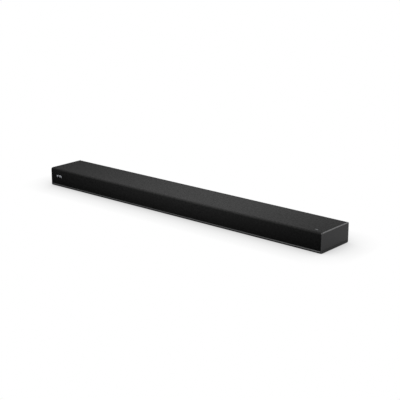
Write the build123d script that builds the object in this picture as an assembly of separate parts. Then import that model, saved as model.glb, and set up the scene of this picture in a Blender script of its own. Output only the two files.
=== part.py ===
from build123d import *
import os

# Soundbar: a base tray on rubber feet, cloth stretched over the front and the top,
# bevelled end caps, and inside them a speaker box with four racetrack woofers,
# three tweeters, its boards and its sockets.
# X runs along the bar, Y from its front to its back and Z up. The origin lies under
# the middle of the bar, at table height. Sizes are in millimetres.

# Overall size
bar_length = 1180.0
bar_depth = 145.0
bar_height = 64.0

# Clearances
seam = 0.3
slip = 0.2
key_play = 0.3
coil_play = 0.4
thread_play = 0.1

# How far forms that make up one moulding run into each other
weld = 0.5

# Base tray and feet
foot_stand = 2.0
foot_length = 60.0
foot_width = 12.0
foot_seat = 1.0
foot_from_end = 110.0
foot_from_side = 18.0
floor_wall = 2.5
rim_height = 7.0
front_rim_height = 4.3
rim_wall = 3.5
rim_bevel = 2.2
boss_height = 2.0
boss_wall = 1.0
vent_width = 3.0
vent_length = 34.0
vent_pitch = 9.0
vent_count = 10

# End caps
cap_wall = 4.0
cap_seam = 0.7
cap_bevel = 1.8
cap_front_radius = 7.3
cap_rear_radius = 3.0
skirt_depth = 8.0
skirt_wall = 2.0
cap_boss_roof = 2.0

# Cloth and its carrier
cloth_thickness = 0.8
cloth_setback = 0.8
cloth_drop = 0.5
cloth_radius = 6.5
front_bow = 1.5
shadow_gap = 1.5
carrier_wall = 2.0
grille_air = 10.9
slot_width = 5.0
slot_pitch = 11.0
slot_margin = 7.0
peg_radius = 3.0
peg_entry = 3.0
peg_gap = 2.5

# Speaker box
deck_wall = 3.0
baffle_wall = 4.0
panel_wall = 3.0
divider_wall = 3.0
ledge_depth = 7.5
lap_length = 6.0
centre_chamber = 304.0
side_chamber = 229.0
rib_wall = 2.0
rib_height = 3.0
rib_from_skirt = 1.0
post_radius = 3.5
post_from_baffle = 8.0
post_from_panel = 4.0
post_from_skirt = 6.0
post_from_divider = 12.0
pilot_radius = 1.25

# Screws
screw_radius = 1.5
screw_head_radius = 2.9
screw_head_height = 2.0
screw_length = 10.0
screw_tip = 1.0

# Racetrack woofers
woofer_length = 98.0
woofer_margin = 3.1
woofer_corner = 8.0
woofer_border = 5.0
flange_wall = 2.0
gasket_wall = 1.0
basket_wall = 1.2
basket_depth = 14.0
basket_rear_length = 48.0
roll_width = 5.0
skin = 0.6
lip = 1.8
cone_wall = 0.8
cone_depth = 9.0
neck_stretch = 6.0
coil_radius = 10.0
coil_wall = 0.5
coil_overhang = 1.5
spider_folds = 5
spider_wave = 0.9
spider_rise = 1.0
motor_radius = 19.0
plate_wall = 4.0
magnet_wall = 8.0
magnet_step = 2.0
yoke_bevel = 1.0
pole_rise = 0.5
woofer_gap = 12.0

# Tweeters
tweeter_plate = 38.0
tweeter_bevel = 0.6
tweeter_screw_margin = 0.2
tweeter_opening = 12.6
tweeter_flare = 1.6
tweeter_seat = 2.0
dome_radius = 10.0
dome_height = 4.0
tweeter_motor_radius = 13.2
tweeter_motor_depth = 14.0
tweeter_cup_floor = 3.0
tweeter_pole_drop = 0.5
tweeter_coil_height = 6.0
tweeter_coil_rise = 0.5
tweeter_gap = 7.0

# Bass ports
port_bore = 12.0
port_wall = 2.0
port_flare = 4.0
port_lip = 1.0
port_length = 70.0
port_from_end = 60.0

# Boards
board_wall = 1.6
board_rise = 0.7
standoff_radius = 3.0
standoff_floor = 1.0
board_margin = 8.0
board_front = 12.0
board_edge = 1.0
rear_screw_inset = 22.0

# Pieces on the boards
fin_count = 9
fin_pitch = 5.0
fin_wall = 2.0
fin_height = 20.0
heatsink_base = 3.0
heatsink_length = 34.0
heatsink_from_edge = 12.0
heatsink_shift = 20.0
radio_length = 24.0
radio_width = 18.0
radio_wall = 1.0
radio_from_edge = 24.0
radio_shift = 30.0
lid_length = 17.0
lid_width = 15.0
lid_height = 2.0
lid_margin = 2.0
lid_bevel = 0.5
core_length = 32.0
core_width = 12.0
core_height = 26.0
winding_length = 22.0
winding_width = 28.0
winding_height = 18.0
winding_corner = 5.0
transformer_from_edge = 34.0
transformer_shift = 14.0
can_radius = 9.0
can_length = 32.0
can_rim = 1.5
can_groove = 0.6
can_groove_from_end = 3.8
can_from_edge = 24.0
can_shift = 44.0

# Trays for the plugs
tray_wall = 2.0
tray_depth = 25.0
tray_headroom = 5.0
tray_flange = 3.0
terminal_width = 92.0
mains_width = 42.0

# Sockets, with pairs of width and height
hdmi_size = (15.0, 6.0)
optical_size = (10.0, 10.0)
usb_size = (14.4, 7.0)
inlet_size = (23.0, 15.0)
inlet_well = (17.4, 9.0)
socket_depth = 13.0
socket_proud = 1.0
socket_pitch = 21.0
socket_floor = 2.0
optical_floor = 4.0
optical_mouth = 6.4
optical_corner = 1.2
shell_wall = 0.6
hdmi_corner = 1.3
blade_width = 11.0
blade_wall = 1.4
blade_inset = 1.5
blade_root = 1.0
hdmi_blade_rise = 0.4
usb_blade_rise = 1.4
pin_pitch = 8.6
pin_radius = 1.2

# Keys
key_width = 9.0
key_height = 5.6
key_corner = 1.5
key_pitch = 12.5
key_bevel = 0.4
key_well = 1.2
key_well_margin = 4.0
key_inset = 0.5
key_travel = 0.5
key_flange = 1.1
key_flange_reach = 1.2
key_stem_radius = 1.5
key_stem_entry = 1.6
key_row_shift = 8.0
key_boss_gap = 2.3
key_board_height = 16.0
switch_size = 6.0
switch_height = 3.5

# Readout behind the cloth
readout_from_end = 36.5
readout_length = 32.0
readout_height = 13.0
readout_z = 36.5
readout_board_length = 44.0
readout_board_height = 20.0
readout_board_gap = 1.3
readout_setback = 0.5
receiver_width = 6.0
receiver_height = 7.0
receiver_depth = 4.0
receiver_from_end = 5.0
receiver_lens_radius = 2.4

# Leads inside
lead_radius = 1.1
lead_pitch = 3.0
lead_bend = 2.2
lead_from_standoff = 3.0
solder_tag_depth = 9.8
header_length = 8.0
header_height = 6.0
header_margin = 2.0

# Wall bracket inserts
insert_bore = 1.65
insert_radius = 3.0
insert_length = 8.0
insert_boss_radius = 5.0
insert_seat = 1.0
insert_cover = 1.0
insert_from_divider = 24.0

# Planes that the pieces share, worked out from the sizes above
x_end = bar_length / 2
x_body = x_end - cap_wall - seam
y_front = -bar_depth / 2
y_back = bar_depth / 2
z_floor = foot_stand + floor_wall
z_rim = foot_stand + rim_height
z_front_rim = foot_stand + front_rim_height
z_cap = z_rim + cap_seam
z_cloth_low = z_front_rim + shadow_gap
z_cloth_top = bar_height - cloth_drop
y_cloth = y_front + cloth_setback
y_carrier = y_cloth + cloth_thickness
z_carrier = z_cloth_top - cloth_thickness
z_deck_top = z_carrier - carrier_wall
z_deck = z_deck_top - deck_wall
y_baffle = y_carrier + carrier_wall + grille_air
y_chamber = y_baffle + baffle_wall
y_panel = y_back - panel_wall
y_cloth_rear = y_back - ledge_depth - seam
z_axis = (z_floor + z_deck) / 2
y_inside = y_back - max(rim_wall, panel_wall) - slip
z_tray = z_rim + seam + tray_flange + tray_wall
tray_height = z_deck - tray_headroom - tray_flange - tray_wall - z_tray
z_board = z_tray + board_rise
x_inner = centre_chamber / 2
x_outer = x_body - side_chamber
x_rib = x_body - skirt_depth - rib_from_skirt
bay_middle = (x_inner + x_outer) / 2
bay_width = x_outer - x_inner - divider_wall
board_length = bay_width - 2 * board_margin
y_tray = y_back - tray_depth

# Places along the bar
readout_x = -(x_end - readout_from_end)
readout_board_x = readout_x + (readout_board_length - readout_length) / 2
outer_peg_x = -readout_board_x - readout_board_length / 2 - peg_radius - peg_gap
side_tweeter_x = outer_peg_x - peg_radius - peg_gap - tweeter_plate / 2
side_woofer_x = side_tweeter_x - tweeter_plate / 2 - tweeter_gap - woofer_length / 2
centre_woofer_x = tweeter_plate / 2 + woofer_gap + woofer_length / 2
woofer_places = [-side_woofer_x, -centre_woofer_x, centre_woofer_x, side_woofer_x]
tweeter_places = [-side_tweeter_x, 0.0, side_tweeter_x]
peg_places = [side * x for side in (-1, 1) for x in (outer_peg_x, x_outer, bay_middle, x_inner)]
post_rows = [y_chamber + post_from_baffle, y_panel - post_radius - post_from_panel]
post_columns = [x_body - skirt_depth - post_from_skirt, x_outer + post_from_divider,
                x_inner - post_from_divider]
post_places = [(side * x, y) for side in (-1, 1) for x in post_columns for y in post_rows]
cap_screw_x = x_body - skirt_depth / 2
cap_screw_places = [(side * cap_screw_x, y) for side in (-1, 1) for y in (y_front / 2, y_back / 2)]
mains_x = -bay_middle - bay_width / 4
terminal_x = bay_middle
key_row_x = -bay_middle + bay_width / 4 - key_row_shift
insert_x = x_outer + insert_from_divider


# Shapes used by several pieces

def slab(x0, x1, y0, y1, z0, z1):
    """Plain plate between two corners."""
    middle = Pos((x0 + x1) / 2, (y0 + y1) / 2, (z0 + z1) / 2)
    return middle * Box(x1 - x0, y1 - y0, z1 - z0)


def cross_outline(y0, y1, z0, z1, front_radius=0.0, rear_radius=0.0):
    """Outline across the bar, with its upper front and upper rear corners rounded."""
    outline = Pos((y0 + y1) / 2, (z0 + z1) / 2) * Rectangle(y1 - y0, z1 - z0)
    if front_radius > 0:
        upper = outline.vertices().group_by(Axis.Y)[-1]
        outline = fillet(upper.sort_by(Axis.X)[0], front_radius)
    if rear_radius > 0:
        upper = outline.vertices().group_by(Axis.Y)[-1]
        outline = fillet(upper.sort_by(Axis.X)[-1], rear_radius)
    return outline


def along(outline, x0, x1):
    """Solid with one outline across the bar, from x0 to x1."""
    return extrude(Plane.YZ.offset(x0) * outline, x1 - x0)


def rod(x, y, z0, z1, radius):
    """Upright round bar."""
    return Pos(x, y, (z0 + z1) / 2) * Cylinder(radius, z1 - z0)


def rod_through(x, z, y0, y1, radius):
    """Round bar that points from the front to the back."""
    return Pos(x, (y0 + y1) / 2, z) * Rot(90, 0, 0) * Cylinder(radius, y1 - y0)


def block_through(x, z, y0, y1, width, height, corner=0.0):
    """Bar with a rectangular, perhaps rounded, outline that points from front to back."""
    outline = RectangleRounded(width, height, corner) if corner else Rectangle(width, height)
    plane = Plane(origin=(x, y1, z), x_dir=(1, 0, 0), z_dir=(0, -1, 0))
    return extrude(plane * outline, y1 - y0)


def stadium(length, width):
    """Racetrack outline: two straights and two half circles."""
    return SlotOverall(length, width)


def racetrack_ring(section, straight):
    """Ring with one section, given as radius and height, all round a racetrack."""
    face = Plane.XZ * section
    turn = revolve(face, Axis.Z, 180)
    run = extrude(face, straight, dir=(0, 1, 0))
    right = Pos(straight / 2, 0, 0) * Rot(0, 0, -90) * turn
    left = Pos(-straight / 2, 0, 0) * Rot(0, 0, 90) * turn
    far = Pos(straight / 2, 0, 0) * Rot(0, 0, 90) * run
    near = Pos(-straight / 2, 0, 0) * Rot(0, 0, -90) * run
    return right + left + far + near


def turned(points):
    """Solid of revolution from an outline of radius and height."""
    return revolve(Plane.XZ * make_face(Polyline(*points, close=True)), Axis.Z, 360)


def facing_front(x, z):
    """Place of a driver: its own Z points out of the front, from the baffle's face."""
    return Plane(origin=(x, y_baffle, z), x_dir=(1, 0, 0), z_dir=(0, -1, 0)).location


# Base

def make_bottom_cover():
    """Tray whose rim is lower and bevelled along the front, with foot seats, vents and sunk screw holes."""
    plan = Rectangle(bar_length, bar_depth)
    plan = chamfer(plan.vertices(), cap_bevel)
    tray = extrude(Plane.XY.offset(foot_stand) * plan, rim_height)
    hollow = Rectangle(bar_length - 2 * rim_wall, bar_depth - 2 * rim_wall)
    tray -= extrude(Plane.XY.offset(z_floor) * hollow, rim_height)
    above_front = Polyline((y_front, z_front_rim - rim_bevel), (y_front + rim_bevel, z_front_rim),
                           (y_front + rim_wall, z_front_rim), (y_front + rim_wall, z_rim), (y_front, z_rim),
                           close=True)
    tray -= along(make_face(above_front), rim_wall - x_end, x_end - rim_wall)
    rib_y = y_chamber + slip
    tray += slab(-x_rib, x_rib, rib_y, rib_y + rib_wall, z_floor, z_floor + rib_height)
    for x, y in post_places + cap_screw_places:
        tray += rod(x, y, z_floor, z_floor + boss_height, post_radius + boss_wall)
    for x, y in post_places + cap_screw_places:
        tray -= rod(x, y, foot_stand, foot_stand + screw_head_height + slip, screw_head_radius + slip)
        tray -= rod(x, y, foot_stand, z_floor + boss_height, screw_radius + slip)
    for x, y in foot_places():
        seat = Pos(x, y) * stadium(foot_length + 2 * slip, foot_width + 2 * slip)
        tray -= extrude(Plane.XY.offset(foot_stand) * seat, foot_seat)
    for side in (-1, 1):
        for i in range(vent_count):
            x = side * bay_middle + (i - (vent_count - 1) / 2) * vent_pitch
            tray -= slab(x - vent_width / 2, x + vent_width / 2,
                         -vent_length / 2, vent_length / 2, foot_stand, z_floor)
    return tray


def foot_places():
    """Feet near both ends and in the middle, along the front and the back."""
    x_far = x_end - foot_from_end
    y_far = bar_depth / 2 - foot_from_side
    return [(x, y) for x in (-x_far, 0.0, x_far) for y in (-y_far, y_far)]


def make_feet():
    """Rubber pads that stand out of their seats, with a soft lower edge."""
    feet = []
    for x, y in foot_places():
        pad = extrude(Plane.XY * (Pos(x, y) * stadium(foot_length, foot_width)), foot_stand + foot_seat)
        feet.append(chamfer(pad.edges().group_by(Axis.Z)[0], foot_stand / 4))
    return feet


def board_screw_places():
    """Screws near the corners of both boards."""
    x_reach = board_length / 2 - standoff_radius - board_edge
    front_row = y_chamber + board_front + standoff_radius + board_edge
    rows = (front_row, board_back() - standoff_radius - rear_screw_inset)
    return [(side * bay_middle + turn * x_reach, y) for side in (-1, 1) for turn in (-1, 1) for y in rows]


def board_back():
    """Rear edge of the boards, just in front of the trays."""
    return y_tray - tray_wall - seam


# End caps

def make_end_cap(side):
    """Plate with a bevelled edge, a skirt inside the box and two screw bosses."""
    outline = cross_outline(y_front, y_back, z_cap, bar_height, cap_front_radius, cap_rear_radius)
    plate = along(outline, x_end - cap_wall, x_end)
    outer_face = plate.faces().sort_by(Axis.X)[-1]
    rim = [e for e in outer_face.edges() if e.center().Z > z_cap + seam]
    cap = chamfer(rim, cap_bevel)
    low, high = z_cap + seam, z_deck - slip
    front, back = y_chamber + slip, y_panel - slip
    ring = cross_outline(front, back, low, high)
    ring -= cross_outline(front + skirt_wall, back - skirt_wall, low + skirt_wall, high - skirt_wall)
    cap += along(ring, x_body - skirt_depth, x_end - cap_wall)
    for x, y in cap_screw_places:
        if x > 0:
            cap += along(cross_outline(y - post_radius, y + post_radius, z_floor + boss_height, z_axis),
                         x_body - skirt_depth, x_end - cap_wall)
            cap -= rod(x, y, z_floor + boss_height, z_axis - cap_boss_roof, pilot_radius)
    return cap if side > 0 else mirror(cap, Plane.YZ)


# Cloth and its carrier

def wrapped_outline(inset, z_low, y_rear):
    """Outline under the cloth, a set depth below its face: bowed front, rounded edge, flat top."""
    half = (z_cloth_top - z_cloth_low) / 2
    middle = z_cloth_low + half
    bow_radius = (half ** 2 + front_bow ** 2) / (2 * front_bow)

    def front(z):
        return y_cloth + bow_radius - ((bow_radius - inset) ** 2 - (z - middle) ** 2) ** 0.5

    z_high = z_cloth_top - inset
    face_line = ThreePointArc((front(z_low), z_low), (front(middle), middle), (front(z_high), z_high))
    back_line = Polyline((front(z_high), z_high), (y_rear, z_high), (y_rear, z_low), (front(z_low), z_low))
    outline = make_face(face_line + back_line)
    upper = outline.vertices().group_by(Axis.Y)[-1]
    return fillet(upper.sort_by(Axis.X)[0], cloth_radius - inset)


def wrap_band(inset, wall):
    """Band that rises up the front, turns over the rounded edge and runs to the back."""
    outer = wrapped_outline(inset, z_cloth_low, y_cloth_rear)
    return outer - wrapped_outline(inset + wall, z_cloth_low - wall, y_cloth_rear + wall)


def make_cloth():
    """Stretched cloth, front and top in one piece."""
    return along(wrap_band(0.0, cloth_thickness), -x_body, x_body)


def make_carrier():
    """Rounded-L carrier with sound slots, a readout window, pegs and a tongue in the tray."""
    band = wrap_band(cloth_thickness, carrier_wall)
    y_deep = y_carrier + carrier_wall + front_bow
    y_tongue = y_front + rim_wall + slip
    tongue = cross_outline(y_tongue, y_deep + weld, z_floor + seam, z_cloth_low + carrier_wall)
    carrier = along(band + tongue, -x_body, x_body)
    count = int((2 * x_body - 2 * slot_margin) / slot_pitch)
    slots = []
    for i in range(count):
        x = (i - (count - 1) / 2) * slot_pitch
        near_peg = min(abs(x - p) for p in peg_places) < peg_radius + slot_width
        near_readout = abs(x - readout_x) < readout_length / 2 + slot_width
        if not near_peg and not near_readout:
            slots.append(slab(x - slot_width / 2, x + slot_width / 2, y_carrier, y_deep,
                              z_cloth_low + slot_margin, z_carrier - cloth_radius - carrier_wall))
    window = block_through(readout_x, readout_z, y_carrier, y_deep,
                           readout_length + 2 * slip, readout_height + 2 * slip)
    carrier -= slots + [window]
    for x in peg_places:
        carrier += rod_through(x, z_axis, y_carrier + carrier_wall / 2, y_baffle + peg_entry, peg_radius)
    return carrier


# Speaker box

def make_deck():
    """Plate under the carrier, with the screw posts that reach down to the tray."""
    deck = slab(-x_body, x_body, y_baffle, y_panel, z_deck, z_deck_top)
    rib_y = y_chamber + slip
    deck += slab(-x_rib, x_rib, rib_y, rib_y + rib_wall, z_deck - rib_height, z_deck)
    for x, y in post_places:
        deck += rod(x, y, z_floor + boss_height, z_deck, post_radius)
    for x, y in post_places:
        deck -= rod(x, y, z_floor + boss_height, z_floor + boss_height + screw_length, pilot_radius)
    return deck


def woofer_height():
    """Height of a woofer's frame on the baffle."""
    return z_deck - z_floor - 2 * woofer_margin


def basket_outline(extra=0.0):
    """Outline of a woofer's basket where it passes through the baffle."""
    wall = 2 * (basket_wall + extra - woofer_border)
    return stadium(woofer_length + wall, woofer_height() + wall)


def make_baffle():
    """Front wall of the box with the driver openings, peg holes and readout pads."""
    baffle = slab(-x_body, x_body, y_baffle, y_chamber, z_floor, z_deck)
    cuts = []
    for x in woofer_places:
        cuts.append(facing_front(x, z_axis) * extrude(basket_outline(2 * seam), -baffle_wall))
        cuts += [rod_through(x + dx, z_axis + dz, y_baffle, y_chamber, pilot_radius)
                 for dx, dz in woofer_screws()]
    for x in tweeter_places:
        cuts.append(rod_through(x, z_axis, y_baffle, y_chamber, tweeter_motor_radius + 2 * seam))
        cuts += [rod_through(x + dx, z_axis, y_baffle, y_chamber, pilot_radius) for dx in tweeter_screws()]
    cuts += [rod_through(x, z_axis, y_baffle, y_baffle + peg_entry, peg_radius + slip) for x in peg_places]
    baffle -= cuts
    for turn in (-1, 1):
        x = readout_board_x + turn * (readout_board_length / 2 - standoff_radius)
        baffle += rod_through(x, readout_z, readout_board_y() + board_wall, y_baffle, standoff_radius)
    return baffle


def readout_board_y():
    """Front face of the readout's board."""
    return y_baffle - board_wall - readout_board_gap


def make_dividers():
    """Walls between the speaker chambers and the board bays."""
    outline = cross_outline(y_chamber, y_inside, z_floor, z_deck)
    rib = y_chamber + 2 * slip + rib_wall
    for low, high in ((z_floor, z_floor + rib_height + slip), (z_deck - rib_height - slip, z_deck)):
        outline -= cross_outline(y_chamber, rib, low, high)
    outline -= cross_outline(lane(0) - lead_pitch, lane(3) + lead_pitch, z_floor, z_floor + 2 * lead_pitch)
    half = divider_wall / 2
    return [along(outline, side * x - half, side * x + half) for side in (-1, 1) for x in (x_inner, x_outer)]


def make_rear_wall():
    """Whole back wall: rounded ledge behind the cloth, cut-outs, key well and bracket bosses."""
    outline = cross_outline(y_panel, y_back, z_rim + seam, z_cloth_top, 0.0, cap_rear_radius - cloth_drop)
    outline += cross_outline(y_back - ledge_depth, y_panel + weld, z_deck_top, z_cloth_top)
    panel = along(outline, -x_body, x_body)
    cuts = []
    for x, width in ((terminal_x, terminal_width), (mains_x, mains_width)):
        cuts.append(block_through(x, tray_middle(), y_panel, y_back,
                                  width + 2 * tray_wall + 2 * slip, tray_height + 2 * tray_wall + 2 * slip))
    for side in (-1, 1):
        cuts.append(rod_through(side * port_x(), z_axis, y_panel, y_back, port_bore + port_flare + slip))
    well = block_through(key_row_x, key_z(), y_back - key_well, y_back,
                         4 * key_pitch + key_width + 2 * key_well_margin, key_height + 2 * key_well_margin,
                         key_corner)
    cuts.append(well)
    for x in key_places():
        cuts.append(block_through(x, key_z(), y_panel, y_back, key_width + 2 * key_play,
                                  key_height + 2 * key_play, key_corner + key_play))
    panel -= cuts
    for side in (-1, 1):
        y_seat = y_back - insert_length - insert_seat
        panel += rod_through(side * insert_x, z_axis, y_seat - insert_cover, y_panel, insert_boss_radius)
        panel -= rod_through(side * insert_x, z_axis, y_seat, y_back, insert_radius)
    for turn in (-1, 1):
        x = key_row_x + turn * key_board_reach()
        panel += rod_through(x, key_z(), key_board_y() + board_wall, y_panel, standoff_radius)
    return panel


def lap_cut(x):
    """Stepped cut that parts two sections of the wall and leaves a half lap between them."""
    near = x - lap_length / 2
    far = x + lap_length / 2
    y_lap = (y_panel + y_back) / 2
    y_ledge = y_back - ledge_depth
    return [slab(near, near + seam, y_ledge, y_lap + slip / 2, z_floor, bar_height),
            slab(near, far + seam, y_lap - slip / 2, y_lap + slip / 2, z_floor, bar_height),
            slab(far, far + seam, y_lap - slip / 2, y_back, z_floor, bar_height)]


def make_rear_panels():
    """Back wall in five sections from left to right, one behind each chamber, lapped behind the dividers."""
    wall = make_rear_wall()
    for x in (-x_outer, -x_inner, x_inner, x_outer):
        wall -= lap_cut(x)
    return wall.solids().sort_by(Axis.X)


def port_x():
    """Place of the bass ports along the bar."""
    return x_end - port_from_end


def make_port(side):
    """Tube with a flared mouth in the rear panel."""
    rim = port_bore + port_flare
    tube = turned([(port_bore, -port_length), (port_bore + port_wall, -port_length),
                   (port_bore + port_wall, -port_flare - port_wall), (rim + port_wall, -panel_wall - seam),
                   (rim + port_wall, -panel_wall), (rim, -panel_wall), (rim, 0.0), (rim - port_lip, 0.0),
                   (port_bore, -port_flare)])
    return Pos(side * port_x(), y_back, z_axis) * Rot(-90, 0, 0) * tube


def make_inserts():
    """Threaded brass inserts for a wall bracket, in a line on the back."""
    inserts = []
    for side in (-1, 1):
        y_inner = y_back - insert_length
        body = rod_through(side * insert_x, z_axis, y_inner, y_back, insert_radius)
        inserts.append(body - rod_through(side * insert_x, z_axis, y_inner, y_back, insert_bore))
    return inserts


# Woofers, each made about its own axis with the baffle's face at height zero

flange_top = gasket_wall + flange_wall
cone_neck = flange_top - cone_depth
basket_low = -basket_depth
motor_low = basket_low - 2 * plate_wall - magnet_wall


def opening_size():
    """Length and width of the opening in a woofer's frame."""
    return woofer_length - 2 * woofer_border, woofer_height() - 2 * woofer_border


def woofer_screws():
    """Corners of a woofer's frame where its screws go."""
    x = woofer_length / 2 - woofer_border
    z = woofer_height() / 2 - woofer_border
    return [(sx * x, sz * z) for sx in (-1, 1) for sz in (-1, 1)]


def make_basket():
    """Frame with a flange, tapering side walls with windows, and a seat for the motor."""
    length, width = opening_size()
    plate = RectangleRounded(woofer_length, woofer_height(), woofer_corner) - stadium(length, width)
    basket = extrude(Plane.XY.offset(gasket_wall) * plate, flange_wall)
    outer = basket_outline()
    rear = stadium(basket_rear_length, width + 2 * basket_wall)
    body = loft([Plane.XY.offset(gasket_wall) * outer, Plane.XY.offset(basket_low) * rear], ruled=True)
    inner_top = Plane.XY.offset(gasket_wall) * stadium(length, width)
    inner_rear = stadium(basket_rear_length - 2 * basket_wall, width)
    inner_low = Plane.XY.offset(basket_low + basket_wall) * inner_rear
    basket += body - loft([inner_top, inner_low], ruled=True)
    window = basket_depth / 3
    for turn in (-1, 1):
        cut = Box(basket_rear_length / 4, 2 * woofer_height(), window)
        basket -= Pos(turn * basket_rear_length / 4, 0, -basket_depth / 2) * cut
    basket -= Pos(0, 0, -basket_depth / 2) * Box(2 * woofer_length, width / 2, window)
    basket -= Pos(0, 0, basket_low) * Cylinder(coil_radius + 2 * coil_play, 4 * basket_wall)
    for x, y in woofer_screws():
        basket -= Pos(x, y, flange_top) * Cylinder(screw_radius + slip, 4 * flange_wall)
    return basket


def make_motor():
    """Top plate, ring magnet and yoke with its pole."""
    ring = coil_radius + coil_wall + coil_play
    top = basket_low
    plate = turned([(ring, top - plate_wall), (motor_radius, top - plate_wall),
                    (motor_radius, top), (ring, top)])
    low = top - plate_wall
    bore = ring + magnet_step
    magnet = turned([(bore, low - magnet_wall), (motor_radius, low - magnet_wall),
                     (motor_radius, low), (bore, low)])
    pole = coil_radius - coil_play
    yoke = turned([(0, motor_low), (motor_radius - yoke_bevel, motor_low),
                   (motor_radius, motor_low + yoke_bevel), (motor_radius, motor_low + plate_wall),
                   (pole, motor_low + plate_wall), (pole, top + pole_rise), (0, top + pole_rise)])
    return [plate, magnet, yoke]


def make_cone():
    """Racetrack cone with its rim, neck plate, dust cap and voice coil."""
    length, width = opening_size()
    rim = (length - 2 * roll_width, width - 2 * roll_width)
    neck = (2 * coil_radius + neck_stretch, 2 * coil_radius + 2 * cone_wall)
    top = Plane.XY.offset(flange_top)
    low = Plane.XY.offset(cone_neck)
    outer = loft([top * stadium(*rim), low * stadium(*neck)], ruled=True)
    inner_neck = stadium(neck[0] - 2 * cone_wall, neck[1] - 2 * cone_wall)
    inside = [top * stadium(rim[0] - 4 * cone_wall, rim[1] - 2 * cone_wall),
              Plane.XY.offset(cone_neck + cone_wall) * inner_neck]
    cone = outer - loft(inside, ruled=True)
    cap = extrude(low * stadium(neck[0] - cone_wall, neck[1] - cone_wall), cone_depth / 2)
    cone += fillet(cap.edges().group_by(Axis.Z)[-1], cone_depth / 2 - 2 * cone_wall)
    coil_low = basket_low - plate_wall - coil_overhang
    outside = coil_radius + coil_wall
    cone += turned([(coil_radius, coil_low), (outside, coil_low), (outside, cone_neck + cone_wall / 2),
                    (coil_radius, cone_neck + cone_wall / 2)])
    return cone


def make_suspension():
    """Half-roll surround on the frame, and the pleated spider round the voice coil."""
    length, width = opening_size()
    radius = roll_width / 2
    middle = width / 2 - radius
    roll = Pos(middle, flange_top) * (Circle(radius) - Circle(radius - skin))
    roll -= Pos(middle, flange_top - radius) * Rectangle(4 * radius, 2 * radius)
    for edge, turn in ((middle - radius, -1), (middle + radius, 1)):
        roll += Pos(edge + turn * (lip - skin) / 2, flange_top + skin / 2) * Rectangle(lip + skin, skin)
    surround = racetrack_ring(roll, length - width)
    inner = coil_radius + coil_wall + slip
    outer = width / 2 - slip
    height = basket_low + basket_depth / 4 + spider_rise
    step = (outer - inner) / spider_folds
    crest = [(inner + i * step, height - spider_wave * (-1) ** i) for i in range(spider_folds + 1)]
    spider = turned(crest + [(r, z - skin) for r, z in reversed(crest)])
    return [surround, spider]


# Tweeters

def tweeter_screws():
    """Screw places left and right of a tweeter's dome."""
    x = tweeter_plate / 2 - screw_head_radius - tweeter_screw_margin
    return [-x, x]


def make_tweeter_body():
    """Face plate with a short flare, magnet cup and pole."""
    edge = tweeter_plate / 2
    wide = tweeter_opening + tweeter_flare
    seat = gasket_wall - tweeter_seat
    ring = dome_radius + coil_wall + coil_play
    low = -tweeter_motor_depth
    plate = turned([(tweeter_opening, seat), (tweeter_motor_radius, seat), (tweeter_motor_radius, gasket_wall),
                    (edge, gasket_wall), (edge, flange_top - tweeter_bevel), (edge - tweeter_bevel, flange_top),
                    (wide, flange_top), (tweeter_opening, gasket_wall)])
    for x in tweeter_screws():
        plate -= Pos(x, 0, flange_top) * Cylinder(screw_radius + slip, 4 * flange_wall)
    cup_floor = low + tweeter_cup_floor
    pole = dome_radius - coil_play
    pole_top = seat - tweeter_pole_drop
    cup = turned([(0, low), (tweeter_motor_radius, low), (tweeter_motor_radius, seat), (ring, seat),
                  (ring, cup_floor), (pole, cup_floor), (pole, pole_top), (0, pole_top)])
    return [plate, cup]


def make_tweeter_dome():
    """Soft dome with a small half roll and its voice coil, moving as one."""
    base = gasket_wall - tweeter_seat + 2 * coil_play
    edge = dome_radius + coil_wall
    bow = (edge ** 2 + dome_height ** 2) / (2 * dome_height)
    centre = base + dome_height - bow
    cap = Pos(0, centre) * (Circle(bow) - Circle(bow - skin))
    cap &= Pos(edge / 2, base + dome_height / 2) * Rectangle(edge, dome_height)
    roll_radius = (tweeter_opening - coil_play - dome_radius) / 2
    roll = Pos(dome_radius + roll_radius, base) * Circle(roll_radius)
    roll &= Pos(dome_radius + roll_radius, base + roll_radius) * Rectangle(4 * roll_radius, 2 * roll_radius)
    coil_middle = base + tweeter_coil_rise - tweeter_coil_height / 2
    coil = Pos(dome_radius + coil_wall / 2, coil_middle) * Rectangle(coil_wall, tweeter_coil_height)
    return revolve(Plane.XZ * (cap + roll + coil), Axis.Z, 360)


def make_gaskets():
    """Foam rings between the drivers' frames and the baffle."""
    rings = []
    outline = RectangleRounded(woofer_length, woofer_height(), woofer_corner) - basket_outline(seam)
    outline -= [Pos(x, y) * Circle(screw_radius + slip) for x, y in woofer_screws()]
    for x in woofer_places:
        rings.append(facing_front(x, z_axis) * extrude(outline, gasket_wall))
    outline = Circle(tweeter_plate / 2) - Circle(tweeter_motor_radius + slip)
    outline -= [Pos(x, 0) * Circle(screw_radius + slip) for x in tweeter_screws()]
    for x in tweeter_places:
        rings.append(facing_front(x, z_axis) * extrude(outline, gasket_wall))
    return rings


# Screws

def make_screw(length):
    """Pan-head screw whose head rests on height zero."""
    shank = pilot_radius - thread_play
    return turned([(0, -length), (shank / 2, -length), (shank, -length + screw_tip), (shank, 0),
                   (screw_head_radius, 0), (screw_head_radius, screw_head_height / 2),
                   (screw_head_radius / 2, screw_head_height), (0, screw_head_height)])


def make_base_screws():
    """Screws from below, through the tray, into the deck's posts and the end caps."""
    screw = Pos(0, 0, foot_stand + screw_head_height + slip) * Rot(180, 0, 0) * make_screw(screw_length)
    return [Pos(x, y) * screw for x, y in post_places + cap_screw_places]


def make_driver_screws():
    """Screws at the corners of the woofers and beside the tweeters' domes."""
    screw = Pos(0, 0, flange_top) * make_screw(gasket_wall + flange_wall + baffle_wall)
    places = [(x + dx, dz) for x in woofer_places for dx, dz in woofer_screws()]
    places += [(x + dx, 0.0) for x in tweeter_places for dx in tweeter_screws()]
    return [facing_front(x, z_axis + dz) * screw for x, dz in places]


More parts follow.
